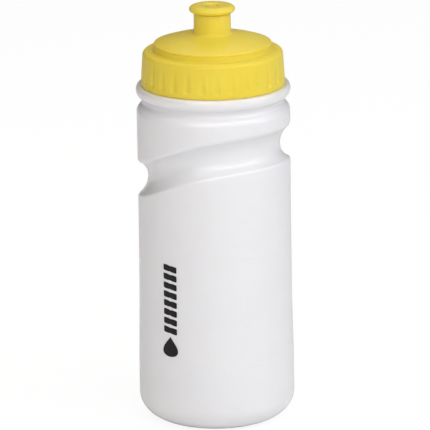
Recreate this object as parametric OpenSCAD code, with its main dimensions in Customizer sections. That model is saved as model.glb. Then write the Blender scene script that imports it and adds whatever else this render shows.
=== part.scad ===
// Sports squeeze bottle with a screw lid and a push-pull drinking valve.
// Millimetres. The bottle stands on Z = 0, its axis is Z, and the finger groove is highest toward +X.

/* [Bottle] */
// Diameter of the straight band above the heel, which a bottle cage grips
body_d = 72.6; // [71:0.1:74]
// Radius of the wall at the middle of the panel
panel_r = 35.65; // [35:0.05:36.2]
// Height of the heel's rounding
heel_h = 11.8; // [8:0.1:14]
// Width of the heel's rounding
heel_w = 14.8; // [10:0.1:16]
// Height of the straight band above the heel
band_h = 8; // [6:0.5:12]
// Height of the hollow pushed up under the base
push_up = 4; // [2:0.5:6]
// Thickness of the blown wall
wall = 1.2; // [0.9:0.05:1.5]

/* [Finger groove] */
// Height of the groove's middle
groove_z = 123.7; // [115:0.1:128]
// Radius of the groove's round section
groove_r = 8.4; // [8:0.1:12]
// Radius of the bottle at the groove's floor
groove_floor_r = 30.65; // [30:0.05:33]
// How far the groove climbs from its middle to its highest point
groove_climb = 11.2; // [0:0.1:14]

/* [Shoulder] */
// Height where the wall turns into the shoulder roll
roll_z = 147.2; // [146:0.1:149]
// Radius of the shoulder roll
roll_r = 3.8; // [3:0.1:4.5]
// Radius of the valley above the roll
valley_r = 2.3; // [2:0.1:3]
// Radius of the bead below the lid
bead_r = 3.75; // [3.4:0.05:4.2]

/* [Neck and thread] */
// Radius of the neck below the thread
neck_r = 30; // [29:0.1:30.5]
// Radius of the mouth
mouth_r = 27.9; // [26:0.1:28]
// Height of the mouth's rim
mouth_z = 173.1; // [171:0.1:174]
// Rise of the thread in one turn
pitch = 4; // [3:0.5:5]
// Turns of thread
thread_turns = 1.25; // [1:0.25:1.5]
// How far the thread stands out
thread_h = 1.2; // [0.8:0.1:1.3]

/* [Lid] */
// Height of the lid's lower edge
lid_z = 159.8; // [159.7:0.1:160.5]
// Outer radius at the lid's lower edge
lid_r = 33.4; // [33.2:0.05:34.2]
// Outer radius at the top of the skirt
lid_top_r = 32.5; // [32.3:0.05:33]
// Inner radius of the skirt
lid_bore_r = 31.35; // [31.2:0.05:31.6]
// Height of the ledge round the domed disc
ledge_z = 175.9; // [175:0.1:177]
// Thickness of the lid's top
lid_wall = 1.6; // [1.2:0.1:1.8]
// Radius of the domed disc
disc_r = 27.15; // [26:0.05:28]
// Height of the domed disc's edge
disc_z = 179.4; // [178.5:0.1:180]
// Height where the dome meets the chimney
dome_z = 183.55; // [183:0.05:185]
// Grip flutes round the skirt
flutes = 30; // [24:1:36]
// Radius of one flute
flute_r = 3.2; // [2.5:0.1:4]
// Height where the flutes end in a small shelf
flute_z = 162.2; // [161:0.1:164]
// Length of a flute
flute_h = 10.4; // [9:0.1:11]
// How far a flute's floor stays outside the top of the skirt, so that the flute fades out
flute_fade = 0.03; // [0.02:0.01:0.1]

/* [Chimney and drinking valve] */
// Outer radius of the chimney
chimney_r = 8.5; // [8.2:0.05:9.5]
// Inner radius of the chimney
chimney_bore_r = 7.3; // [7:0.05:8]
// Height of the chimney's upper end
chimney_z = 193.4; // [191:0.1:194]
// Radius of the closing pin
pin_r = 3; // [2.5:0.1:3.5]
// Radius of the valve's lip
lip_r = 10.65; // [10:0.05:12]
// Height of the widest part of the lip
lip_z = 195.1; // [194.5:0.1:196]
// Height of the top of the valve
top_z = 197; // [196.5:0.1:198]
// Running clearance between the valve and what it slides on
slide_gap = 0.07; // [0.03:0.01:0.1]
// How far the valve pulls up
valve_travel = 5; // [4:0.5:5]

/* [Hidden] */
$fn = 96;

body_r = body_d / 2;
heel_r = body_r - heel_w;
stand_w = 2;
base_t = wall + 0.3;
band_top = heel_h + band_h;
// The panel narrows a little toward the groove and widens again above it
waist_r = panel_r - 0.2;
panel_low_r = panel_r + 0.2;
panel_low_z = band_top + 30;
waist_low_z = groove_z - 18;
waist_top_z = groove_z + 6;
shoulder_r = panel_r - 0.15;

// The roll, the valley and the bead are arcs that touch: their centres and the angles where they meet
roll_a = 57;
bead_a = 60;
roll_c = [shoulder_r - roll_r, roll_z];
valley_c = roll_c + (roll_r + valley_r) * [cos(roll_a), sin(roll_a)];
bead_c = valley_c + (valley_r + bead_r) * [-cos(bead_a), sin(bead_a)];
shelf_z = lid_z - 0.2;

groove_c = groove_floor_r + groove_r;
groove_slope = groove_climb / panel_r;

rim_break = 0.5;
thread_root_w = 1.8;
thread_tip_w = 0.8;
thread_bury = 0.4;
thread_taper = 25;
thread_step = 10;
bottle_thread_z = 164;
lid_thread_z = bottle_thread_z - pitch / 2;

seal_h = ledge_z - lid_wall - mouth_z;
plug_r = mouth_r - 0.7;
plug_drop = 2.4;
edge_r = 2.1;
flute_phase = 2.2;
dome_rise = 0.45;
dome_foot_r = chimney_r + 0.8;
rib_w = 1.6;
rib_z = 180.6;
rib_h = 3;
guide_h = 1.2;
pin_nose = 1.2;

stem_r = chimney_bore_r - 0.4 - slide_gap;
snap_r = chimney_bore_r - slide_gap;
stem_bore_r = 5.4;
stem_z = rib_z + rib_h + 1;
snap_top_z = chimney_z - guide_h - valve_travel - 0.1;
lip_under_z = chimney_z + 0.15;
lip_under_w = 1.7;
lip_top_w = 3.2;
lip_plate = 2.4;

// Points of an arc of an ellipse about c, from angle a0 to a1
function arc(c, rx, ry, a0, a1, n = 8) =
    [for (i = [0:n]) let (a = a0 + (a1 - a0) * i / n) c + [rx * cos(a), ry * sin(a)]];

// Points of a shallow arc from p to q that stands h above the straight line
function bow(p, q, h, n = 8) =
    [for (i = [0:n]) let (t = i / n) p + (q - p) * t + [0, 4 * h * t * (1 - t)]];

// Side of the bottle from the heel to the bead, moved inward by t
function side(t) = concat(
    arc([heel_r, heel_h], heel_w - t, heel_h - t, -90, 0, 10),
    [[body_r - t, band_top],
     [panel_low_r - t, panel_low_z],
     [waist_r - t, waist_low_z],
     [waist_r - t, waist_top_z]],
    arc(roll_c, roll_r - t, roll_r - t, 0, roll_a, 6),
    arc(valley_c, valley_r + t, valley_r + t, 180 + roll_a, 180 - bead_a, 6),
    arc(bead_c, bead_r - t, bead_r - t, -bead_a, asin((shelf_z - t - bead_c[1]) / (bead_r - t)), 8)
);

// Ring that cuts the slanted groove: a round section carried round the axis, then sheared along Z
module groove_ring(r) {
    multmatrix([[1, 0, 0, 0], [0, 1, 0, 0], [groove_slope, 0, 1, groove_z], [0, 0, 0, 1]])
        rotate_extrude()
            translate([groove_c, 0])
                circle(r = r);
}

// Thread of trapezoid section on the radius root_r, out = 1 to stand outward and -1 to stand inward
module thread(root_r, z, out) {
    steps = round(thread_turns * 360 / thread_step);
    sweep = steps * thread_step;
    // Height of the thread at an angle: it fades into the wall at both ends
    function rise(a) = thread_h * min(1, a / thread_taper, (sweep - a) / thread_taper) - 0.1;
    function section(a) = let (
        base = root_r - out * thread_bury,
        tip = root_r + out * rise(a),
        level = z + pitch * a / 360,
        pts = [[base, -thread_root_w / 2], [tip, -thread_tip_w / 2],
               [tip, thread_tip_w / 2], [base, thread_root_w / 2]]
    ) [for (p = pts) [p[0] * cos(a), p[0] * sin(a), level + p[1]]];
    last = 4 * steps;
    walls = [for (i = [0:steps - 1], k = [0:3]) let (j = (k + 1) % 4)
        [4 * i + k, 4 * i + j, 4 * i + 4 + j, 4 * i + 4 + k]];
    ends = [[3, 2, 1, 0], [last, last + 1, last + 2, last + 3]];
    flip = out > 0;
    faces = concat(walls, ends);
    polyhedron(
        points = [for (i = [0:steps]) each section(i * thread_step)],
        faces = [for (f = faces) flip ? f : [f[3], f[2], f[1], f[0]]],
        convexity = 6
    );
}

module bottle() {
    color("white") {
        difference() {
            // Outer skin
            difference() {
                rotate_extrude()
                    polygon(concat([[0, push_up]], [[heel_r - stand_w, 0]], side(0),
                        [[neck_r, shelf_z], [neck_r, mouth_z - rim_break],
                         [neck_r - rim_break, mouth_z], [0, mouth_z]]));
                groove_ring(groove_r);
            }
            // Inner skin
            difference() {
                rotate_extrude()
                    polygon(concat([[0, push_up + base_t], [heel_r - stand_w, base_t]], side(wall),
                        [[mouth_r, shelf_z - wall], [mouth_r, mouth_z + 1], [0, mouth_z + 1]]));
                groove_ring(groove_r + wall);
            }
        }
        thread(neck_r, bottle_thread_z, 1);
    }
}

module lid() {
    under_z = ledge_z - lid_wall;
    shell = concat(
        [[lid_bore_r, lid_z], [lid_r, lid_z]],
        arc([lid_top_r - edge_r, ledge_z - edge_r], edge_r, edge_r, 0, 90, 5),
        [[disc_r + 0.3, ledge_z], [disc_r, disc_z - 0.3], [disc_r - 0.3, disc_z]],
        bow([disc_r - 0.6, disc_z + 0.1], [dome_foot_r, dome_z], dome_rise),
        [[chimney_r + 0.1, dome_z + 0.8], [chimney_r, chimney_z - 0.3], [chimney_r - 0.3, chimney_z]],
        [[stem_r + slide_gap, chimney_z], [stem_r + slide_gap, chimney_z - guide_h],
         [chimney_bore_r, chimney_z - guide_h], [chimney_bore_r, rib_z], [chimney_r, rib_z]],
        bow([chimney_r, dome_z - lid_wall + 0.1], [disc_r - lid_wall, disc_z - lid_wall], dome_rise),
        [[disc_r - lid_wall, under_z - plug_drop], [plug_r, under_z - plug_drop],
         [plug_r, under_z], [lid_bore_r, under_z]]
    );
    color("gold") {
        difference() {
            rotate_extrude()
                polygon(shell);
            for (i = [0:flutes - 1])
                rotate(flute_phase + i * 360 / flutes)
                    translate([lid_top_r + flute_fade + flute_r, 0, flute_z])
                        cylinder(r = flute_r, h = flute_h);
        }
        thread(lid_bore_r, lid_thread_z, -1);
        closing_pin();
    }
}

// Pin that closes the drinking hole, held in the chimney by three ribs
module closing_pin() {
    nose_z = top_z - 0.5;
    translate([0, 0, rib_z])
        cylinder(r = pin_r, h = nose_z - pin_nose - rib_z);
    translate([0, 0, nose_z - pin_nose])
        cylinder(r1 = pin_r, r2 = pin_r - pin_nose / 2, h = pin_nose);
    for (i = [0:2])
        rotate(i * 120)
            translate([pin_r - 0.5, -rib_w / 2, rib_z])
                cube([chimney_bore_r + 0.4 - pin_r + 0.5, rib_w, rib_h]);
}

module lid_seal() {
    inner_r = plug_r + 0.3;
    outer_r = neck_r + 0.2;
    color("whitesmoke")
        translate([0, 0, mouth_z])
            difference() {
                cylinder(r = outer_r, h = seal_h);
                translate([0, 0, -1])
                    cylinder(r = inner_r, h = seal_h + 2);
            }
}

module spout() {
    hole_r = pin_r + slide_gap;
    plate_z = top_z - lip_plate;
    profile = concat(
        [[stem_bore_r, stem_z], [snap_r - 0.4, stem_z], [snap_r, stem_z + 0.6], [snap_r, snap_top_z],
         [stem_r, snap_top_z], [stem_r, lip_under_z]],
        arc([lip_r - lip_under_w, lip_z], lip_under_w, lip_z - lip_under_z, -90, 0, 6),
        arc([lip_r - lip_top_w, lip_z], lip_top_w, top_z - lip_z, 0, 90, 8),
        [[hole_r + 1.4, top_z], [hole_r, top_z - 0.4], [hole_r, plate_z], [stem_bore_r, plate_z]]
    );
    color("gold")
        rotate_extrude()
            polygon(profile);
}

bottle();
lid();
lid_seal();
spout();
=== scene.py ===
"""Sports squeeze bottle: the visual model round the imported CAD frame.

Lengths in the shape functions are millimetres, and mesh_from() turns them into metres.
Angles run from +X, counter-clockwise seen from above.
"""
import math

import bpy
import numpy as np
from mathutils import Matrix, Vector


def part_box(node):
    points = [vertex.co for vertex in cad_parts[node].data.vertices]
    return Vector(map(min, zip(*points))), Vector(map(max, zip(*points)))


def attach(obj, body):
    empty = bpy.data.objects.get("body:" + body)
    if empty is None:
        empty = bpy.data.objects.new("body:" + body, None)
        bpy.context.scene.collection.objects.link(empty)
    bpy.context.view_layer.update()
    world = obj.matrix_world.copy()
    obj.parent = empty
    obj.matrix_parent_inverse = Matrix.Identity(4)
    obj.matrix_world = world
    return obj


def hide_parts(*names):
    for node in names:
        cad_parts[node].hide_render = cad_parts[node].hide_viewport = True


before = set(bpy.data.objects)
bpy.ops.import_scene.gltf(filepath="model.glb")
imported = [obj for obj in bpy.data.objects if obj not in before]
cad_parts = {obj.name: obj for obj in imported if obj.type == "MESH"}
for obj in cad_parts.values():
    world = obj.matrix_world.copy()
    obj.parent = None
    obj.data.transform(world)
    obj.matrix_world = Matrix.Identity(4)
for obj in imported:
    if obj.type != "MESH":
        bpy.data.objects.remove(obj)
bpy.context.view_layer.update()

MM = 0.001
TURN = 2 * math.pi


def in_mm(corner):
    """A corner of a box in millimetres."""
    return np.array(corner) / MM


# ---------------------------------------------------------------- sizes from the frame

BOTTLE_HIGH = in_mm(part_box("bottle")[1])
LID_LOW, LID_HIGH = map(in_mm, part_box("lid"))
SEAL_LOW, SEAL_HIGH = map(in_mm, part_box("lid_seal"))
SPOUT_LOW, SPOUT_HIGH = map(in_mm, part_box("spout"))

BODY_R = BOTTLE_HIGH[0]
MOUTH_Z = BOTTLE_HIGH[2]
LID_Z = LID_LOW[2]
LID_R = LID_HIGH[0]
PIN_Z = LID_HIGH[2]
LIP_R = SPOUT_HIGH[0]
TOP_Z = SPOUT_HIGH[2]
STEM_Z = SPOUT_LOW[2]
SEAL_R = SEAL_HIGH[0]

# Bottle
HEEL_H = 11.8
HEEL_W = 14.8
STAND_W = 2.0
PUSH_UP = 4.0
WALL = 1.2
BASE_T = 1.5
HEEL_R = BODY_R - HEEL_W
PANEL_DROP = 0.62
PANEL_FROM, PANEL_OVER = 20, 45
WAIST_DROP = 0.85
WAIST_FROM, WAIST_OVER = 50, 60
SHOULDER_R = BODY_R - 0.8
WIDEN_FROM, WIDEN_OVER = 122, 26

# Finger groove
GROOVE_Z = 123.8
GROOVE_SLOPE = 11.2 / 35.65
GROOVE_FLATTEN = 1.2
GROOVE_SHARE = 1.07
GROOVE_R = 9.0
GROOVE_FLOOR_R = 30.65
GROOVE_C = GROOVE_FLOOR_R + GROOVE_R
LOWER_EDGE_R = 1.8
UPPER_EDGE_R = 2.6
LEAST_EDGE_R = 0.25
EDGE_ROWS = 9
HOLLOW_ROWS = 32

# Shoulder roll, valley and bead: three arcs that touch
ROLL_Z = 147.2
ROLL_R = 3.8
VALLEY_R = 2.3
BEAD_R = 3.75
ROLL_A = math.radians(57)
ROLL_START = 14
BEAD_A = math.radians(60)
ROLL_C = np.array([SHOULDER_R - ROLL_R, ROLL_Z])
VALLEY_C = ROLL_C + (ROLL_R + VALLEY_R) * np.array([math.cos(ROLL_A), math.sin(ROLL_A)])
BEAD_C = VALLEY_C + (VALLEY_R + BEAD_R) * np.array([-math.cos(BEAD_A), math.sin(BEAD_A)])
SHELF_Z = LID_Z - 0.04
BELOW_ROWS = 34
ABOVE_ROWS = 10

# Neck and thread
NECK_R = 30.0
MOUTH_R = 27.9
PITCH = 4.0
THREAD_TURNS = 1.25
THREAD_H = 1.2
THREAD_Z = 164.0

# Mould lines of the blown bottle
PARTING_A = math.radians(41.3)
PARTING_H = 0.05
PARTING_W = 0.22
PARTING_COLUMNS = np.radians([-0.7, -0.35, 0, 0.35, 0.7])
PARTING_CLEAR = math.radians(0.6)
SEAM_H = 0.4
SEAM_W = 0.55
SEAM_END_R = 18
SEAM_FADE = 3

# Lid
LID_TOP_R = LID_R - 0.9
LID_BORE_R = 31.35
LEDGE_Z = 175.9
SHOULDER_EDGE_R = 2.1
STEP_FILLET_R = 0.6
DISC_R = 27.2
DISC_Z = 179.45
DISC_RIM_H = 1.3
DISC_EDGE_R = 0.55
DISC_GROOVE_W = 0.08
DOME_Z = 183.55
DOME_RISE = 0.45
LID_WALL = 1.6
FLUTES = 30
FLUTE_R = 3.2
FLUTE_Z = 162.0
FLUTE_END_H = 1.7
FLUTE_HALF_W = 2.1
FLUTE_TOP_Z = 173.7
FLUTE_CENTRE_R = LID_TOP_R + 0.05 + FLUTE_R
FLUTE_ROUND_H = 1.1
FLUTE_BLEND = 0.16
FLUTE_A = math.radians(2.2)
PLUG_DROP = 2.4
RIB_Z = 180.6
RIB_H = 3.0
RIB_W = 1.6
RIBS = 3
RIB_CORNERS = 32
RIB_SOFTNESS = 0.32

# Chimney and drinking valve
CHIMNEY_R = 8.5
CHIMNEY_BORE_R = 7.3
CHIMNEY_Z = 193.4
CHIMNEY_FOOT_R = 1.2
CHIMNEY_EDGE_R = 0.35
GUIDE_H = 1.2
PIN_R = 3.0
SLIDE_GAP = 0.07
LIP_Z = 195.1
STEM_R = CHIMNEY_BORE_R - 0.4 - SLIDE_GAP
SNAP_R = CHIMNEY_BORE_R - SLIDE_GAP
STEM_BORE_R = 5.4
LIP_PLATE = 2.4
LIP_UNDER_W = 1.85
LIP_TOP_W = 3.3
SNAP_DROP = 5.1

# Ring seal
SEAL_BORE_R = MOUTH_R - 0.4
SEAL_EDGE_R = 0.3

# Printed mark
MARK_A = math.radians(-85.1)
MARK_LOW = 36.8
MARK_HIGH = 80.6
DROP_H = 9.6
BAR_W = 7.4
BARS = 8
BAR_GAP_SHARE = 0.3
BAR_SLOPE = math.tan(math.radians(-8))
INK_T = 0.04
INK_RINGS = np.array([1.0, 0.97, 0.85, 0.65, 0.45, 0.25])[:, None]
MARK_GAP = 1.6
DROP_POINTS = 72
DROP_WIDTH_SHARE = 0.62
DROP_TAPER = 1.4
BAR_POINTS = 56
BAR_SOFTNESS = 0.22

# Columns round the axis, and the angle in degrees above which an edge is shaded sharp
BOTTLE_COLUMNS = 210
LID_COLUMNS = 480
ROUND_COLUMNS = 128
SHARP_ABOVE = 38


# ---------------------------------------------------------------- shapes

def smooth_step(t):
    """The cubic 3 t^2 - 2 t^3, held at 0 below t = 0 and at 1 above t = 1."""
    t = np.clip(t, 0.0, 1.0)
    return t * t * (3 - 2 * t)


def arc(centre, rx, rz, start, end, n=10):
    """Points centre + (rx cos a, rz sin a) for a from start to end, in degrees: an n + 1 by 2 array."""
    a = np.radians(np.linspace(start, end, n + 1))
    return np.stack([centre[0] + rx * np.cos(a), centre[1] + rz * np.sin(a)], 1)


def bow(p, q, rise, n=14):
    """Points from p to q on a parabola that stands rise above the straight line at its middle."""
    t = np.linspace(0, 1, n + 1)[:, None]
    p, q = np.array(p, float), np.array(q, float)
    return p + (q - p) * t + np.array([0, 4 * rise]) * t * (1 - t)


def line(p, q, n=4):
    """Points from p to q on a straight line."""
    return bow(p, q, 0.0, n)


def rows_of(outline, columns):
    """Radius and height grids of a plain turned outline: every column is the same."""
    outline = np.array(outline, float)
    spread = np.ones((1, columns))
    return outline[:, :1] * spread, outline[:, 1:] * spread


def mesh_from(name, *shells):
    """A smooth mesh object at the origin from closed shells, each its points in mm and its quads.

    A shell whose signed volume, the sum of a . (b x c) over its triangles, is below 0 has its quads
    reversed, so that every shell looks outward.
    """
    all_points, loops, count = [], [], 0
    for points, faces in shells:
        triangles = np.concatenate([faces[:, [0, 1, 2]], faces[:, [0, 2, 3]]])
        a, b, c = (points[triangles[:, k]] for k in range(3))
        if np.einsum("ij,ij->i", a, np.cross(b, c)).sum() < 0:
            faces = faces[:, ::-1]
        loops += [list(dict.fromkeys(f)) for f in (faces + count).tolist()]
        all_points.append(points)
        count += len(points)
    mesh = bpy.data.meshes.new(name)
    mesh.from_pydata((np.concatenate(all_points) * MM).tolist(), [], loops)
    mesh.polygons.foreach_set("use_smooth", [True] * len(mesh.polygons))
    mesh.set_sharp_from_angle(angle=math.radians(SHARP_ABOVE))
    mesh.update()
    piece = bpy.data.objects.new(name, mesh)
    bpy.context.scene.collection.objects.link(piece)
    return piece


def turned_grid(radius, height, angles, ring=False):
    """Points and quads of a surface given as radius and height on rows by columns.

    Columns wrap round the axis. A ring joins its last row to its first; any other surface is closed
    at each end by one point on the axis, at the mean height of the end row.
    """
    rows, columns = radius.shape
    points = np.stack([radius * np.cos(angles), radius * np.sin(angles), height], 2).reshape(-1, 3)
    k = np.arange(rows * columns).reshape(rows, columns)
    low, high = (k, np.roll(k, -1, 0)) if ring else (k[:-1], k[1:])
    quads = np.stack([low, np.roll(low, -1, 1), np.roll(high, -1, 1), high], 2).reshape(-1, 4)
    if ring:
        return points, quads
    poles = np.array([[0, 0, height[0].mean()], [0, 0, height[-1].mean()]])
    first, last = len(points), len(points) + 1
    pole_a = np.stack([np.full(columns, first), np.roll(k[0], -1), k[0], np.full(columns, first)], 1)
    pole_b = np.stack([np.full(columns, last), k[-1], np.roll(k[-1], -1), np.full(columns, last)], 1)
    return np.concatenate([points, poles]), np.concatenate([quads, pole_a, pole_b])


def turned(name, outline, columns=ROUND_COLUMNS, ring=False):
    """A plain turned piece from a radius and height outline."""
    angles = np.linspace(0, TURN, columns, endpoint=False)
    radius, height = rows_of(outline, columns)
    return mesh_from(name, turned_grid(radius, height, angles, ring))


def thread_height(angles, height, start_z, turns=THREAD_TURNS, root_w=2.0, tip_w=0.8, fade=0.07):
    """Height of a right-handed thread at each place, 0 off the thread.

    Its centre climbs PITCH a turn from start_z. Across it the height runs from 1 on the tip to 0 at
    the root by a smooth step, and along it the height fades in and out over a share of a turn.
    """
    found = np.zeros(np.broadcast(angles, height).shape)
    for lap in range(math.ceil(turns) + 1):
        along = (angles % TURN) / TURN + lap
        off = np.abs(height - start_z - PITCH * along)
        across = smooth_step((root_w / 2 - off) / ((root_w - tip_w) / 2))
        ends = smooth_step(np.minimum(along, turns - along) / fade)
        found = np.maximum(found, across * ends)
    return found * THREAD_H


def wall_r(z):
    """Radius of the bottle's wall.

    Two smooth steps narrow it from BODY_R to the waist, and a third widens it a little to the shoulder.
    """
    low = PANEL_DROP * smooth_step((z - PANEL_FROM) / PANEL_OVER)
    high = (WAIST_DROP - PANEL_DROP) * smooth_step((z - WAIST_FROM) / WAIST_OVER)
    widening = (SHOULDER_R - BODY_R + WAIST_DROP) * smooth_step((z - WIDEN_FROM) / WIDEN_OVER)
    return BODY_R - low - high + widening


def groove_section(angles, inset):
    """Rows of the finger groove's skin, set inward by inset, from its lower edge to its upper.

    The section has a radius r and a height d about the groove's middle: a small convex arc that leaves
    the wall, a round hollow about a centre outside the bottle, and a second convex arc back to the wall.
    Arcs meet where they touch. The section is then sheared by a lean, so that z = GROOVE_Z + d + lean r.
    Round the bottle the lean goes as tanh(GROOVE_FLATTEN cos a): a tilted ring, a little flatter at its
    highest and lowest.
    """
    hollow = GROOVE_R + inset
    lean = GROOVE_SLOPE * GROOVE_SHARE * np.tanh(GROOVE_FLATTEN * np.cos(angles))[None]
    share = np.linspace(0, 1, EDGE_ROWS)[:, None]
    radius, depth, turns = [], [], []
    for side, edge in ((-1, LOWER_EDGE_R), (1, UPPER_EDGE_R)):
        fillet = max(edge - inset, LEAST_EDGE_R)
        wall = wall_r(GROOVE_Z + SHOULDER_R * lean + side * GROOVE_R) - inset
        reach = GROOVE_C - wall + fillet
        rise = np.sqrt((hollow + fillet) ** 2 - reach**2)
        turn = np.arctan2(rise, reach)
        a = -side * turn * (share if side < 0 else share[::-1])
        radius.append(wall - fillet + fillet * np.cos(a))
        depth.append(side * rise + fillet * np.sin(a))
        turns.append(turn)
    lower, upper = turns
    b = math.pi + lower - np.linspace(0, 1, HOLLOW_ROWS)[1:-1, None] * (lower + upper)
    radius.insert(1, GROOVE_C + hollow * np.cos(b))
    depth.insert(1, hollow * np.sin(b))
    radius, depth = np.concatenate(radius), np.concatenate(depth)
    return radius, GROOVE_Z + depth + radius * lean


def bottle_side(angles, inset):
    """Rows of one skin of the bottle from the standing ring to the shelf under the lid."""
    columns = len(angles)
    heel = arc((HEEL_R, HEEL_H), HEEL_W - inset, HEEL_H - inset, -90, 0, 18)
    heel_rows = rows_of(heel, columns)
    groove_rows = groove_section(angles, inset)
    below = np.linspace(0, 1, BELOW_ROWS)[1:-1, None]
    below_z = HEEL_H + (groove_rows[1][:1] - HEEL_H) * below
    above = np.linspace(0, 1, ABOVE_ROWS)[1:, None]
    wall_top = ROLL_Z + (ROLL_R - inset) * math.sin(math.radians(ROLL_START)) - 0.2
    above_z = groove_rows[1][-1:] + (wall_top - groove_rows[1][-1:]) * above
    bead_r = BEAD_R - inset
    shelf_z = SHELF_Z - inset
    top_a = math.asin((shelf_z - BEAD_C[1] - 0.35) / bead_r)
    bead_end_r = BEAD_C[0] + bead_r * math.cos(top_a)
    roll_deg, bead_deg, top_deg = map(math.degrees, (ROLL_A, BEAD_A, top_a))
    shoulder = np.concatenate([
        arc(ROLL_C, ROLL_R - inset, ROLL_R - inset, ROLL_START, roll_deg, 13),
        arc(VALLEY_C, VALLEY_R + inset, VALLEY_R + inset, 180 + roll_deg, 180 - bead_deg, 18)[1:],
        arc(BEAD_C, bead_r, bead_r, -bead_deg, top_deg, 18)[1:],
        [[bead_end_r - 0.22, shelf_z - 0.1], [bead_end_r - 0.6, shelf_z]],
    ])
    shoulder_rows = rows_of(shoulder, columns)
    below_rows = (wall_r(below_z) - inset, below_z)
    above_rows = (wall_r(above_z) - inset, above_z)
    bands = (heel_rows, below_rows, groove_rows, above_rows, shoulder_rows)
    return tuple(np.concatenate(part) for part in zip(*bands))


def make_bottle():
    """The blown bottle as one closed skin: base, side, shelf and threaded neck, then back down inside.

    Columns are even round the axis, with a few close ones on each of the two mould lines.
    """
    even = np.linspace(0, TURN, BOTTLE_COLUMNS, endpoint=False)
    lines = np.concatenate([PARTING_A + PARTING_COLUMNS, PARTING_A + math.pi + PARTING_COLUMNS])
    far = np.min(np.abs(np.angle(np.exp(1j * (even[:, None] - lines[None])))), 1)
    angles = np.sort(np.concatenate([even[far > PARTING_CLEAR], lines % TURN]))
    columns = len(angles)

    stand_r = HEEL_R - STAND_W
    base = np.concatenate([bow((0.4, PUSH_UP), (stand_r - 0.8, 0.45), 1.2, 22),
                           [[stand_r - 0.35, 0.12], [stand_r + 0.1, 0.0]]])
    neck_z = np.arange(SHELF_Z + 0.5, MOUTH_Z - 0.5, 0.2)
    neck = np.concatenate([[[NECK_R + 0.5, SHELF_Z]], [[NECK_R + 0.15, SHELF_Z + 0.15]],
                           np.stack([np.full(len(neck_z), NECK_R), neck_z], 1)])
    rim = np.concatenate([arc((NECK_R - 0.5, MOUTH_Z - 0.5), 0.5, 0.5, 10, 90, 5),
                          arc((MOUTH_R + 0.4, MOUTH_Z - 0.4), 0.4, 0.4, 90, 180, 5),
                          line((MOUTH_R, MOUTH_Z - 1.2), (MOUTH_R, SHELF_Z - WALL + 0.6), 4),
                          [[MOUTH_R + 0.2, SHELF_Z - WALL + 0.1], [MOUTH_R + 0.7, SHELF_Z - WALL]]])
    floor_in = bow((stand_r - 0.6, BASE_T + 0.3), (0.4, PUSH_UP + BASE_T), 1.2, 14)

    outer = bottle_side(angles, 0.0)
    inner = bottle_side(angles, WALL)
    base_rows, neck_rows, rim_rows, floor_rows = (
        rows_of(outline, columns) for outline in (base, neck, rim, floor_in))
    neck_rows[0][:] += thread_height(angles[None], neck_rows[1], THREAD_Z)

    # The mould halves leave a fine raised line up both sides and a pinched seam across the base
    off_line = np.abs(np.sin(angles - PARTING_A))
    outer[0][:] += PARTING_H * np.exp(-((off_line * BODY_R / PARTING_W) ** 2))
    across_seam = base_rows[0] * off_line[None] / SEAM_W
    along_seam = (SEAM_END_R - base_rows[0]) / SEAM_FADE
    base_rows[1][:] -= SEAM_H * np.exp(-(across_seam**2)) * smooth_step(along_seam)

    bands = (base_rows, outer, neck_rows, rim_rows, (inner[0][::-1], inner[1][::-1]), floor_rows)
    radius, height = (np.concatenate(part) for part in zip(*bands))
    return mesh_from("bottle_skin", turned_grid(radius, height, angles))


def skirt_r(z):
    """Radius of the lid's tapered skirt."""
    top = LEDGE_Z - SHOULDER_EDGE_R
    return LID_R + (LID_TOP_R - LID_R) * (z - LID_Z) / (top - LID_Z)


def flute_cut(angles, height, radius):
    """Radius of the skirt with its scallops.

    A scallop is an upright round cut about a centre outside the skirt, blended into the skirt over
    FLUTE_BLEND. The skirt leans in, so the cut fades out upward. Below it ends in a quarter-round ramp that
    dips to the middle of the scallop.
    """
    step = TURN / FLUTES
    off = (angles - FLUTE_A + step / 2) % step - step / 2
    reach = np.clip(FLUTE_R**2 - (FLUTE_CENTRE_R * np.sin(off)) ** 2, 0, None)
    floor_r = np.where(reach > 0, FLUTE_CENTRE_R * np.cos(off) - np.sqrt(reach), radius + 1)
    mix = np.clip(0.5 + 0.5 * (floor_r - radius) / FLUTE_BLEND, 0, 1)
    cut = floor_r * (1 - mix) + radius * mix - FLUTE_BLEND * mix * (1 - mix)
    across = np.clip(FLUTE_CENTRE_R * off / FLUTE_HALF_W, -1, 1)
    end_z = FLUTE_Z + FLUTE_ROUND_H * (1 - np.sqrt(1 - across**2))
    up = np.clip((height - end_z) / FLUTE_END_H, 0, 1)
    shelf = np.sqrt(1 - (1 - up) ** 2) * (height < FLUTE_TOP_Z)
    return radius + (np.minimum(cut, radius) - radius) * shelf


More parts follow.
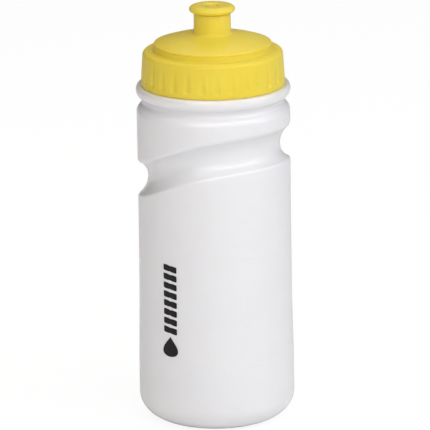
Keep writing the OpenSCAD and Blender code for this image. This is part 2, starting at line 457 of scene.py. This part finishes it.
def make_lid():
    """The screw lid as one closed ring: up its outside from skirt to chimney, then down its inside."""
    angles = np.linspace(0, TURN, LID_COLUMNS, endpoint=False)
    under_z = LEDGE_Z - LID_WALL
    shoulder_c = (LID_TOP_R - SHOULDER_EDGE_R, LEDGE_Z - SHOULDER_EDGE_R)
    rim_z = DISC_Z - DISC_RIM_H
    rim_r = DISC_R - DISC_GROOVE_W
    foot_c = (CHIMNEY_R + CHIMNEY_FOOT_R + 0.15, DOME_Z + CHIMNEY_FOOT_R)
    top_c = (CHIMNEY_R - CHIMNEY_EDGE_R, CHIMNEY_Z - CHIMNEY_EDGE_R)
    skirt_foot = [[LID_BORE_R + 0.4, LID_Z], [LID_R - 0.35, LID_Z], [LID_R - 0.1, LID_Z + 0.1]]
    skirt_z = np.concatenate([[LID_Z + 0.35, LID_Z + 1.3], FLUTE_Z + np.arange(-0.2, 3.0, 0.2),
                              np.linspace(FLUTE_Z + 3.4, FLUTE_TOP_Z, 10)])
    outside = np.concatenate([
        skirt_foot,
        np.stack([skirt_r(skirt_z), skirt_z], 1),
        arc(shoulder_c, SHOULDER_EDGE_R, SHOULDER_EDGE_R, 2, 90, 9),
        line((shoulder_c[0] - 0.8, LEDGE_Z), (DISC_R + 1.1, LEDGE_Z), 2),
        arc((DISC_R + 0.75, LEDGE_Z + STEP_FILLET_R), STEP_FILLET_R, STEP_FILLET_R, 270, 180, 5),
        [[DISC_R + 0.12, rim_z - 0.25], [rim_r, rim_z - 0.12], [rim_r, rim_z - 0.02]],
        [[DISC_R, rim_z + 0.1], [DISC_R, DISC_Z - 0.6]],
        arc((DISC_R - DISC_EDGE_R, DISC_Z - DISC_EDGE_R), DISC_EDGE_R, DISC_EDGE_R, 10, 72, 5),
        bow((DISC_R - 0.8, DISC_Z + 0.09), (CHIMNEY_R + 1.7, DOME_Z - 0.12), DOME_RISE, 18),
        arc(foot_c, CHIMNEY_FOOT_R, CHIMNEY_FOOT_R, 258, 180, 7),
        line((CHIMNEY_R + 0.12, DOME_Z + 2.2), (CHIMNEY_R, CHIMNEY_Z - 0.4), 5),
        arc(top_c, CHIMNEY_EDGE_R, CHIMNEY_EDGE_R, 0, 90, 5),
    ])
    guide_r = STEM_R + SLIDE_GAP
    guide_z = CHIMNEY_Z - GUIDE_H
    dome_r, dome_z = DISC_R - LID_WALL, DISC_Z - LID_WALL
    plug_z = under_z - PLUG_DROP
    thread_z = np.arange(under_z - 0.3, LID_Z + 0.5, -0.27)
    bore_foot = [[LID_BORE_R, LID_Z + 0.3], [LID_BORE_R + 0.1, LID_Z + 0.1]]
    inside = np.concatenate([
        [[guide_r + 0.15, CHIMNEY_Z], [guide_r, CHIMNEY_Z - 0.15]],
        [[guide_r, guide_z], [CHIMNEY_BORE_R, guide_z - 0.1]],
        line((CHIMNEY_BORE_R, guide_z - 0.4), (CHIMNEY_BORE_R, RIB_Z), 4),
        [[CHIMNEY_R, RIB_Z]],
        bow((CHIMNEY_R, DOME_Z - LID_WALL + 0.1), (dome_r, dome_z), DOME_RISE, 8),
        line((dome_r, dome_z - 0.3), (dome_r, plug_z + 0.2), 3),
        arc((MOUTH_R - 1.4, plug_z + 0.4), 0.7, 0.4, 200, 340, 6),
        [[MOUTH_R - 0.7, under_z - 0.1], [MOUTH_R - 0.6, under_z]],
        line((MOUTH_R + 0.2, under_z), (LID_BORE_R - 0.3, under_z), 2),
        np.stack([np.full(len(thread_z), LID_BORE_R), thread_z], 1),
        bore_foot,
    ])
    outline = np.concatenate([outside, inside])
    radius, height = rows_of(outline, LID_COLUMNS)
    skirt = slice(len(skirt_foot), len(skirt_foot) + len(skirt_z))
    radius[skirt] = flute_cut(angles[None], height[skirt], radius[skirt])
    end = len(outline) - len(bore_foot)
    bore = slice(end - len(thread_z), end)
    radius[bore] -= thread_height(angles[None], height[bore], THREAD_Z - PITCH / 2)
    return mesh_from("lid_shell", turned_grid(radius, height, angles, ring=True))


def make_closing_pin():
    """The pin that closes the drinking hole, with the three ribs that hold it in the chimney."""
    foot_r = PIN_R + 0.5
    pin = np.concatenate([
        [[0.3, RIB_Z], [foot_r - 0.4, RIB_Z]],
        arc((foot_r - 0.4, RIB_Z + 0.4), 0.4, 0.4, -70, 0, 4),
        [[foot_r, RIB_Z + RIB_H - 0.6]],
        arc((foot_r, RIB_Z + RIB_H), 0.5, 0.6, 250, 180, 5),
        line((PIN_R, RIB_Z + RIB_H + 0.4), (PIN_R, PIN_Z - 1.2), 6),
        arc((PIN_R - 1.2, PIN_Z - 0.6), 1.0, 0.6, 5, 90, 8),
        [[0.9, PIN_Z], [0.3, PIN_Z - 0.02]],
    ])
    angles = np.linspace(0, TURN, ROUND_COLUMNS // 2, endpoint=False)
    shells = [turned_grid(*rows_of(pin, len(angles)), angles)]
    # A rib is a rounded rectangle, carried outward from inside the pin into the chimney's wall
    turn = np.linspace(0, TURN, RIB_CORNERS, endpoint=False)
    across = (RIB_W / 2) * np.sign(np.cos(turn)) * np.abs(np.cos(turn)) ** RIB_SOFTNESS
    up = (RIB_H / 2) * np.sign(np.sin(turn)) * np.abs(np.sin(turn)) ** RIB_SOFTNESS
    outward = np.array([PIN_R - 1.0, PIN_R + 1.5, CHIMNEY_BORE_R - 1.0, CHIMNEY_BORE_R + 0.5])[:, None]
    for a in np.arange(RIBS) * TURN / RIBS:
        x = outward * math.cos(a) - across * math.sin(a)
        y = outward * math.sin(a) + across * math.cos(a)
        z = RIB_Z + RIB_H / 2 + up + 0 * outward
        k = np.arange(x.size).reshape(x.shape)
        sides = np.stack([k[:-1], k[1:], np.roll(k[1:], -1, 1), np.roll(k[:-1], -1, 1)], 2).reshape(-1, 4)
        ends = [np.array([[x[i].mean(), y[i].mean(), z[i].mean()]]) for i in (0, -1)]
        tip_a, tip_b = np.full(RIB_CORNERS, x.size), np.full(RIB_CORNERS, x.size + 1)
        cap_a = np.stack([tip_a, k[0], np.roll(k[0], -1), tip_a], 1)
        cap_b = np.stack([tip_b, np.roll(k[-1], -1), k[-1], tip_b], 1)
        points = np.concatenate([np.stack([x, y, z], 2).reshape(-1, 3), *ends])
        shells.append((points, np.concatenate([sides, cap_a, cap_b])))
    return mesh_from("closing_pin", *shells)


def make_spout():
    """The drinking valve: a hollow stem with a snap ring, and a rounded lip with a dished drinking hole."""
    hole_r = PIN_R + SLIDE_GAP
    under_z = CHIMNEY_Z + 0.15
    plate_z = TOP_Z - LIP_PLATE
    snap_z = CHIMNEY_Z - GUIDE_H - SNAP_DROP
    outline = np.concatenate([
        [[STEM_BORE_R + 0.2, STEM_Z], [SNAP_R - 0.5, STEM_Z], [SNAP_R - 0.15, STEM_Z + 0.35]],
        [[SNAP_R, STEM_Z + 0.7], [SNAP_R, snap_z - 0.15]],
        [[SNAP_R - 0.12, snap_z], [STEM_R + 0.05, snap_z + 0.02]],
        line((STEM_R, snap_z + 0.15), (STEM_R, under_z - 0.3), 5),
        [[STEM_R + 0.1, under_z - 0.08], [STEM_R + 0.35, under_z]],
        line((STEM_R + 0.8, under_z), (LIP_R - 1.9, under_z), 2),
        arc((LIP_R - LIP_UNDER_W, LIP_Z), LIP_UNDER_W, LIP_Z - under_z, -84, 0, 12),
        arc((LIP_R - LIP_TOP_W, LIP_Z), LIP_TOP_W, TOP_Z - LIP_Z, 6, 90, 18),
        bow((LIP_R - 3.7, TOP_Z), (hole_r + 1.9, TOP_Z - 0.05), 0.0, 3),
        bow((hole_r + 1.5, TOP_Z - 0.08), (hole_r + 0.35, TOP_Z - 0.3), 0.03, 5),
        [[hole_r + 0.08, TOP_Z - 0.4], [hole_r, TOP_Z - 0.6]],
        line((hole_r, TOP_Z - 1.0), (hole_r, plate_z + 0.1), 2),
        [[hole_r + 0.1, plate_z], [STEM_BORE_R - 0.4, plate_z], [STEM_BORE_R - 0.1, plate_z - 0.1]],
        line((STEM_BORE_R, plate_z - 0.4), (STEM_BORE_R, STEM_Z + 0.2), 5),
    ])
    return turned("drinking_valve", outline, ring=True)


def make_seal():
    """The ring seal: a flat band with rounded edges."""
    middle_r = (SEAL_BORE_R + SEAL_R) / 2
    middle_z = (SEAL_LOW[2] + SEAL_HIGH[2]) / 2
    half_w, half_h = SEAL_R - middle_r - SEAL_EDGE_R, SEAL_HIGH[2] - middle_z - SEAL_EDGE_R
    corners = ((1, -1, -90), (1, 1, 0), (-1, 1, 90), (-1, -1, 180))
    outline = np.concatenate([
        arc((middle_r + x * half_w, middle_z + z * half_h), SEAL_EDGE_R, SEAL_EDGE_R, start, start + 90, 5)
        for x, z, start in corners])
    return turned("seal_ring", outline, ring=True)


def wrapped_mark(name, outlines):
    """Thin closed ink patches on the wall, from outlines given as places across and up it in mm.

    Rings of the outline shrink to its centre, are laid round the wall at MARK_A, and stand INK_T proud;
    a second layer just under the skin closes the patch.
    """
    shells = []
    for outline in outlines:
        centre = outline.mean(0)
        n = len(outline)
        across = centre[0] + (outline[:, 0] - centre[0])[None] * INK_RINGS
        up = centre[1] + (outline[:, 1] - centre[1])[None] * INK_RINGS
        layers = []
        for lift in (INK_T, -INK_T):
            r = wall_r(up) + lift
            a = MARK_A + across / wall_r(up)
            grid = np.stack([r * np.cos(a), r * np.sin(a), up], 2).reshape(-1, 3)
            r_c = wall_r(centre[1]) + lift
            a_c = MARK_A + centre[0] / wall_r(centre[1])
            layers.append(np.concatenate([grid, [[r_c * math.cos(a_c), r_c * math.sin(a_c), centre[1]]]]))
        rows = len(INK_RINGS)
        k = np.arange(rows * n).reshape(rows, n)
        step = rows * n + 1
        quads = np.stack([k[:-1], np.roll(k[:-1], -1, 1), np.roll(k[1:], -1, 1), k[1:]], 2).reshape(-1, 4)
        hub = np.full(n, rows * n)
        fan = np.stack([k[-1], np.roll(k[-1], -1), hub, hub], 1)
        under = np.concatenate([quads, fan])[:, ::-1] + step
        edge = np.stack([k[0] + step, np.roll(k[0], -1) + step, np.roll(k[0], -1), k[0]], 1)
        shells.append((np.concatenate(layers), np.concatenate([quads, fan, under, edge])))
    return mesh_from(name, *shells)


def drop_outline():
    """A water drop, tip up: x = w sin t (sin t/2)^p, and z = h/2 cos t about the drop's middle."""
    t = np.linspace(0, TURN, DROP_POINTS, endpoint=False)
    x = DROP_WIDTH_SHARE * DROP_H * np.sin(t) * np.sin(t / 2) ** DROP_TAPER
    z = MARK_LOW + DROP_H / 2 + DROP_H / 2 * np.cos(t)
    return np.stack([x, z], 1)


def bar_outlines():
    """Leaning bars, one above the other.

    A bar with rounded corners has x = w/2 |cos t|^s and z = h/2 |sin t|^s, each with its own sign, and z
    then rises with x.
    """
    room = MARK_HIGH - MARK_LOW - DROP_H - MARK_GAP
    pitch = room / (BARS - BAR_GAP_SHARE)
    thick = pitch * (1 - BAR_GAP_SHARE)
    t = np.linspace(0, TURN, BAR_POINTS, endpoint=False) + TURN / BAR_POINTS / 2
    x = BAR_W / 2 * np.sign(np.cos(t)) * np.abs(np.cos(t)) ** BAR_SOFTNESS
    up = thick / 2 * np.sign(np.sin(t)) * np.abs(np.sin(t)) ** BAR_SOFTNESS
    low = MARK_LOW + DROP_H + MARK_GAP + thick / 2
    return [np.stack([x, low + i * pitch + up + x * BAR_SLOPE], 1) for i in range(BARS)]


# ---------------------------------------------------------------- materials

# Sizes of noise are cells in a metre. A pair with FROM in its name is where a mark starts and is full.
PATCH_SIZE = 38.0
PATCH_FROM = (0.3, 0.7)
GRAIN_SIZE = 3500.0
GRAIN_SHARE = 0.3
SCRATCH_STRETCH = (60.0, 60.0, 900.0)
SCRATCH_TILT = (0.25, 0.12, 0.0)
SCRATCH_FROM = (0.68, 0.74)
HANDLED_SIZE = 26.0
HANDLED_FROM = (0.5, 0.62)
SPOT_SIZE = 420.0
SPOT_FROM = (0.69, 0.78)
STREAK_STRETCH = (170.0, 170.0, 5.0)
STREAK_FROM = (0.3, 0.7)
SMOOTH_PATCH, DULL_PATCH = -0.025, 0.035
WORN_ROUGH = 0.18


def node_group(name, inputs, outputs):
    """A new shader node group with its named inputs (name, socket type, default) and outputs."""
    group = bpy.data.node_groups.new(name, "ShaderNodeTree")
    for label, kind, default in inputs:
        socket = group.interface.new_socket(label, in_out="INPUT", socket_type=kind)
        if default is not None:
            socket.default_value = default
    for label, kind in outputs:
        group.interface.new_socket(label, in_out="OUTPUT", socket_type=kind)
    start = group.nodes.new("NodeGroupInput")
    end = group.nodes.new("NodeGroupOutput")
    return group, start, end


def add(tree, kind, **values):
    """A node with its properties and inputs set, an input by its name or as i0, i1 by its place.

    A value may be another node's output socket, which is linked.
    """
    made = tree.nodes.new(kind)
    for key, value in values.items():
        if key in made.bl_rna.properties:
            setattr(made, key, value)
            continue
        by_place = key[0] == "i" and key[1:].isdigit()
        socket = made.inputs[int(key[1:]) if by_place else key.replace("_", " ")]
        if isinstance(value, bpy.types.NodeSocket):
            tree.links.new(value, socket)
        else:
            socket.default_value = value
    return made


def noise(tree, place, scale, detail=3.0, rough=0.5):
    """Smooth noise, mostly from 0.3 to 0.7, with scale cells in a metre."""
    made = add(tree, "ShaderNodeTexNoise", Vector=place, Scale=scale, Detail=detail, Roughness=rough)
    return made.outputs["Fac"]


def remap(tree, value, low, high, to_low=0.0, to_high=1.0):
    """A value carried from low..high to to_low..to_high in a straight line, and held outside."""
    made = add(tree, "ShaderNodeMapRange", i0=value, i1=low, i2=high, i3=to_low, i4=to_high)
    return made.outputs["Result"]


def math_node(tree, operation, a, b):
    """One sum, product or other operation of two values."""
    return add(tree, "ShaderNodeMath", operation=operation, i0=a, i1=b).outputs[0]


def mix_colour(tree, share, a, b):
    """Colour a where share is 0 and colour b where it is 1."""
    return add(tree, "ShaderNodeMix", data_type="RGBA", i0=share, i6=a, i7=b).outputs[2]


def stretched(tree, place, scale, tilt=(0.0, 0.0, 0.0)):
    """A place scaled along each axis and tilted by angles in radians, so that noise on it draws out."""
    return add(tree, "ShaderNodeMapping", Vector=place, Rotation=tilt, Scale=scale).outputs["Vector"]


def make_moulded_skin():
    """Orange peel and fine grain of moulded plastic: Height for a bump, and Patches from 0 to 1."""
    group, start, end = node_group(
        "moulded_skin",
        [("Vector", "NodeSocketVector", None), ("Peel size", "NodeSocketFloat", 300.0),
         ("Grain size", "NodeSocketFloat", GRAIN_SIZE), ("Grain share", "NodeSocketFloat", GRAIN_SHARE)],
        [("Height", "NodeSocketFloat"), ("Patches", "NodeSocketFloat")])
    place = start.outputs["Vector"]
    peel = noise(group, place, start.outputs["Peel size"], detail=2.0)
    grain = noise(group, place, start.outputs["Grain size"], detail=1.0)
    patches = noise(group, place, PATCH_SIZE, detail=4.0, rough=0.6)
    grain = math_node(group, "MULTIPLY", grain, start.outputs["Grain share"])
    height = math_node(group, "ADD", peel, grain)
    group.links.new(height, end.inputs["Height"])
    group.links.new(remap(group, patches, *PATCH_FROM), end.inputs["Patches"])
    return group


def make_scuffs():
    """Faint handling marks, as a mask from 0 to 1: fine scratches round the piece and small rubbed spots."""
    group, start, end = node_group(
        "scuffs",
        [("Vector", "NodeSocketVector", None), ("Amount", "NodeSocketFloat", 0.5)],
        [("Mask", "NodeSocketFloat")])
    place = start.outputs["Vector"]
    drawn_out = stretched(group, place, SCRATCH_STRETCH, SCRATCH_TILT)
    scratch = remap(group, noise(group, drawn_out, 1.0, detail=2.0), *SCRATCH_FROM)
    handled = remap(group, noise(group, place, HANDLED_SIZE, detail=2.0), *HANDLED_FROM)
    spots = remap(group, noise(group, place, SPOT_SIZE, detail=2.0), *SPOT_FROM)
    both = math_node(group, "MAXIMUM", math_node(group, "MULTIPLY", scratch, handled), spots)
    group.links.new(math_node(group, "MULTIPLY", both, start.outputs["Amount"]), end.inputs["Mask"])
    return group


def make_streaks():
    """Upright flow lines of blown plastic: noise drawn out along Z, from 0 to 1."""
    group, start, end = node_group(
        "flow_streaks", [("Vector", "NodeSocketVector", None)], [("Streaks", "NodeSocketFloat")])
    drawn_out = stretched(group, start.outputs["Vector"], STREAK_STRETCH)
    streaks = noise(group, drawn_out, 1.0, detail=3.0)
    group.links.new(remap(group, streaks, *STREAK_FROM), end.inputs["Streaks"])
    return group


SKIN, SCUFFS, STREAKS = make_moulded_skin(), make_scuffs(), make_streaks()


def painted_lid_light_mask(tree, place):
    """Share of painted yellow light and shade from the lid on the bottle: it grows up to the lid's foot, and
    only out on the bead.
    """
    height = add(tree, "ShaderNodeSeparateXYZ", Vector=place).outputs["Z"]
    flat = add(tree, "ShaderNodeVectorMath", operation="MULTIPLY", i0=place, i1=(1, 1, 0)).outputs["Vector"]
    out = add(tree, "ShaderNodeVectorMath", operation="LENGTH", i0=flat).outputs["Value"]
    near_lid = remap(tree, height, (LID_Z - LID_LIGHT_PAINT_H) * MM, LID_Z * MM, 0.0, LID_LIGHT_PAINT_SHARE)
    off_neck = remap(tree, out, (LID_R - LID_LIGHT_PAINT_IN) * MM, LID_R * MM)
    return math_node(tree, "MULTIPLY", near_lid, off_neck)


def plastic(name, colour, deep, rubbed, rough, peel, bump_mm, subsurface, soak_mm,
            streaks=0.0, scuff=0.5, coat=0.0, coat_rough=0.13, gloss=0.5, ior=1.5,
            sheen_tint=(1, 1, 1), soak=(1.0, 0.85, 0.7), painted_lid_light=None):
    """A moulded plastic: two close tones in patches, flow streaks, rubbed marks, a soft moulded skin and, if
    asked, painted light and shade from the lid.

    deep and rubbed are the tones of the patches and of the marks; the last colour is painted yellow light
    and shade from the lid, laid on the bottle just under it.
    """
    material = bpy.data.materials.new(name)
    material.use_nodes = True
    tree = material.node_tree
    shader = tree.nodes["Principled BSDF"]
    place = add(tree, "ShaderNodeTexCoord").outputs["Object"]
    skin = add(tree, "ShaderNodeGroup", node_tree=SKIN, Vector=place, Peel_size=peel)
    marks = add(tree, "ShaderNodeGroup", node_tree=SCUFFS, Vector=place, Amount=scuff).outputs["Mask"]
    tone = mix_colour(tree, skin.outputs["Patches"], (*colour, 1), (*deep, 1))
    height = skin.outputs["Height"]
    if streaks:
        flow = add(tree, "ShaderNodeGroup", node_tree=STREAKS, Vector=place).outputs["Streaks"]
        flow = math_node(tree, "MULTIPLY", flow, streaks)
        tone = mix_colour(tree, flow, tone, (*deep, 1))
        height = math_node(tree, "ADD", height, flow)
    # Painted yellow light and shade from the lid, laid on the bottle just under it
    if painted_lid_light:
        tone = mix_colour(tree, painted_lid_light_mask(tree, place), tone, (*painted_lid_light, 1))
    tone = mix_colour(tree, marks, tone, (*rubbed, 1))
    tree.links.new(tone, shader.inputs["Base Color"])
    patches = skin.outputs["Patches"]
    base_rough = remap(tree, patches, 0.0, 1.0, rough + SMOOTH_PATCH, rough + DULL_PATCH)
    worn_rough = math_node(tree, "ADD", base_rough, math_node(tree, "MULTIPLY", marks, WORN_ROUGH))
    tree.links.new(worn_rough, shader.inputs["Roughness"])
    bump = add(tree, "ShaderNodeBump", Height=height, Strength=1.0, Distance=bump_mm * MM)
    tree.links.new(bump.outputs["Normal"], shader.inputs["Normal"])
    shader.inputs["IOR"].default_value = ior
    shader.inputs["Specular IOR Level"].default_value = gloss
    shader.inputs["Specular Tint"].default_value = (*sheen_tint, 1)
    shader.inputs["Subsurface Weight"].default_value = subsurface
    shader.inputs["Subsurface Radius"].default_value = soak
    shader.inputs["Subsurface Scale"].default_value = soak_mm * MM
    shader.inputs["Coat Weight"].default_value = coat
    shader.inputs["Coat Roughness"].default_value = coat_rough
    return material


WHITE = (0.835, 0.83, 0.85)
WHITE_DEEP = (0.81, 0.805, 0.83)
WHITE_RUBBED = (0.74, 0.735, 0.74)
YELLOW = (0.795, 0.645, 0.075)
YELLOW_DEEP = (0.775, 0.605, 0.055)
YELLOW_RUBBED = (0.83, 0.70, 0.15)
YELLOW_SHEEN = (1.0, 0.93, 0.62)
YELLOW_SOAK = (1.0, 0.65, 0.12)
# Painted yellow light from the lid and shade by its foot, laid on the bottle's bead: its colour, height,
# inset and share
LID_LIGHT_PAINT = (0.66, 0.56, 0.32)
LID_LIGHT_PAINT_H = 2.6
LID_LIGHT_PAINT_IN = 1.0
LID_LIGHT_PAINT_SHARE = 0.3
SILICONE = (0.72, 0.72, 0.70)
INK = (0.006, 0.005, 0.006)
INK_WORN = (0.02, 0.019, 0.02)

bottle_plastic = plastic("milky_polyethylene", WHITE, WHITE_DEEP, WHITE_RUBBED, rough=0.3, peel=260.0,
                         bump_mm=0.01, subsurface=0.5, soak_mm=3.0, streaks=0.35, scuff=0.3, coat=0.7,
                         coat_rough=0.08, painted_lid_light=LID_LIGHT_PAINT)
lid_plastic = plastic("yellow_moulding", YELLOW, YELLOW_DEEP, YELLOW_RUBBED, rough=0.4, peel=420.0,
                      bump_mm=0.012, subsurface=0.4, soak_mm=1.6, scuff=0.35, coat=0.12, gloss=0.4, ior=1.4,
                      sheen_tint=YELLOW_SHEEN, soak=YELLOW_SOAK)
valve_plastic = plastic("yellow_valve_moulding", YELLOW, YELLOW_DEEP, YELLOW_RUBBED, rough=0.36, peel=520.0,
                        bump_mm=0.01, subsurface=0.4, soak_mm=1.6, scuff=0.3, coat=0.12, gloss=0.4, ior=1.4,
                        sheen_tint=YELLOW_SHEEN, soak=YELLOW_SOAK)
seal_rubber = plastic("seal_silicone", SILICONE, SILICONE, WHITE, rough=0.5, peel=700.0,
                      bump_mm=0.01, subsurface=0.3, soak_mm=1.0, scuff=0.2)
ink = plastic("printing_ink", INK, INK, INK_WORN, rough=0.42, peel=900.0,
              bump_mm=0.006, subsurface=0.0, soak_mm=0.1, scuff=0.2, gloss=0.3)


def dress(piece, material, body, slot, *nodes):
    """Give a piece its material, and say which body it rides and the nodes it replaces; slot is not used."""
    piece.data.materials.append(material)
    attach(piece, body)
    if nodes:
        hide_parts(*nodes)
    return piece


dress(make_bottle(), bottle_plastic, "bottle", "bottle_plastic", "bottle")
dress(make_lid(), lid_plastic, "lid", "lid_plastic", "lid")
dress(make_closing_pin(), lid_plastic, "lid", "lid_plastic")
dress(make_spout(), valve_plastic, "spout", "spout_plastic", "spout")
dress(make_seal(), seal_rubber, "lid_seal", "seal_rubber", "lid_seal")
dress(wrapped_mark("printed_mark", [drop_outline(), *bar_outlines()]), ink, "bottle", "bottle_plastic")


# ---------------------------------------------------------------- stage, light and camera

VIEW_AZIMUTH = 41.3
CAMERA_DISTANCE = 2.0
CAMERA_HEIGHT = 0.64755
AIM_HEIGHT = 0.0966
AIM_SIDE = 0.00008
CAMERA_ROLL = math.radians(-0.768)
CAMERA_NEAR, CAMERA_FAR = 0.05, 50.0
LENS = 372.9
FLOOR_HALF = 6.0
FLOOR_ROUGH = 0.8
FLOOR_TONE = 0.88
FLOOR_SEEN_TONE = 0.14
FLOOR_SEEN_GLOW = 0.89
ROOM_COLOUR = (0.985, 0.99, 1.0)
ROOM_BRIGHT_SIDE = (60, 20)
ROOM_SPREAD = (-0.8, 0.7)
ROOM_GLOW = (0.08, 0.5)


def direction(azimuth, elevation):
    """Unit vector from the bottle toward a place, azimuth counted to the right of the camera's own side."""
    a, e = math.radians(VIEW_AZIMUTH + azimuth), math.radians(elevation)
    return Vector((math.sin(a) * math.cos(e), -math.cos(a) * math.cos(e), math.sin(e)))


def make_floor():
    """A wide pale sheet that the bottle stands on.

    The bottle is lit by plain pale paper. The camera sees a darker paper that glows white by itself, so the
    sheet looks white and still takes a faint shadow.
    """
    corners = [(x * FLOOR_HALF, y * FLOOR_HALF, 0) for x, y in ((-1, -1), (1, -1), (1, 1), (-1, 1))]
    mesh = bpy.data.meshes.new("floor")
    mesh.from_pydata(corners, [], [(0, 1, 2, 3)])
    floor = bpy.data.objects.new("floor", mesh)
    bpy.context.scene.collection.objects.link(floor)
    material = bpy.data.materials.new("floor_paper")
    material.use_nodes = True
    tree = material.node_tree
    paper = tree.nodes["Principled BSDF"]
    seen_paper = add(tree, "ShaderNodeBsdfPrincipled")
    for shader, tone in ((paper, FLOOR_TONE), (seen_paper, FLOOR_SEEN_TONE)):
        shader.inputs["Base Color"].default_value = (tone, tone, tone, 1)
        shader.inputs["Roughness"].default_value = FLOOR_ROUGH
        shader.inputs["Specular IOR Level"].default_value = 0.0
    seen_paper.inputs["Emission Color"].default_value = (1, 1, 1, 1)
    seen_paper.inputs["Emission Strength"].default_value = FLOOR_SEEN_GLOW
    seen = add(tree, "ShaderNodeLightPath").outputs["Is Camera Ray"]
    both = add(tree, "ShaderNodeMixShader", i0=seen, i1=paper.outputs[0], i2=seen_paper.outputs[0])
    tree.links.new(both.outputs[0], tree.nodes["Material Output"].inputs["Surface"])
    mesh.materials.append(material)


def soft_light(name, azimuth, elevation, distance, size, watts, colour=(1, 1, 1)):
    """A rectangular soft box that faces the middle of the bottle: degrees, metres and watts."""
    data = bpy.data.lights.new(name, "AREA")
    data.shape = "RECTANGLE"
    data.size, data.size_y = size
    data.energy = watts
    data.color = colour
    lamp = bpy.data.objects.new(name, data)
    bpy.context.scene.collection.objects.link(lamp)
    middle = Vector((0, 0, TOP_Z * MM / 2))
    back = direction(azimuth, elevation)
    lamp.location = middle + back * distance
    lamp.rotation_mode = "QUATERNION"
    lamp.rotation_quaternion = (-back).to_track_quat("-Z", "Y")


def make_camera():
    """A long lens that looks a little down on the bottle, rolled by CAMERA_ROLL about its line of sight."""
    data = bpy.data.cameras.new("camera")
    data.lens = LENS
    data.clip_start, data.clip_end = CAMERA_NEAR, CAMERA_FAR
    camera = bpy.data.objects.new("camera", data)
    bpy.context.scene.collection.objects.link(camera)
    side = direction(90, 0)
    place = direction(0, 0) * CAMERA_DISTANCE + Vector((0, 0, CAMERA_HEIGHT))
    aim = side * AIM_SIDE + Vector((0, 0, AIM_HEIGHT))
    forward = (aim - place).normalized()
    right = forward.cross(Vector((0, 0, 1))).normalized()
    up = right.cross(forward)
    turned_right = right * math.cos(CAMERA_ROLL) + up * math.sin(CAMERA_ROLL)
    turned_up = up * math.cos(CAMERA_ROLL) - right * math.sin(CAMERA_ROLL)
    facing = Matrix((turned_right, turned_up, -forward)).transposed()
    camera.matrix_world = Matrix.Translation(place) @ facing.to_4x4()
    bpy.context.scene.camera = camera


def make_room():
    """The light that comes from all round: it grows from the dark side of the room to the bright one."""
    world = bpy.data.worlds.new("studio")
    world.use_nodes = True
    tree = world.node_tree
    place = add(tree, "ShaderNodeTexCoord").outputs["Generated"]
    bright = direction(*ROOM_BRIGHT_SIDE)
    toward = add(tree, "ShaderNodeVectorMath", operation="DOT_PRODUCT", i0=place, i1=bright)
    glow = remap(tree, toward.outputs["Value"], *ROOM_SPREAD, *ROOM_GLOW)
    tree.links.new(glow, tree.nodes["Background"].inputs["Strength"])
    tree.nodes["Background"].inputs["Color"].default_value = (*ROOM_COLOUR, 1)
    bpy.context.scene.world = world


make_floor()
# Each light: name, azimuth, elevation, distance, size, watts, and a colour where it isn't white
soft_light("front_box", 12, 28, 1.6, (1.6, 1.1), 3.6, (0.99, 0.995, 1.0))
soft_light("right_box", 69, 31, 1.6, (1.1, 1.1), 5.2)
soft_light("left_box", -20, 30, 1.6, (1.1, 1.1), 6.5, (1.0, 0.93, 0.86))
soft_light("high_left_box", -74, 64, 1.6, (1.0, 1.0), 2.8, (1.0, 0.85, 0.7))
soft_light("back_box", 182, 57, 1.6, (1.1, 0.9), 3.6)
soft_light("broad_glint", 16, 47, 1.3, (0.42, 0.12), 1.6)
soft_light("thin_glint", 57, 45, 1.3, (0.3, 0.12), 1.3)
make_camera()
make_room()
bpy.context.scene.view_settings.view_transform = "Standard"
bpy.context.scene.view_settings.look = "None"
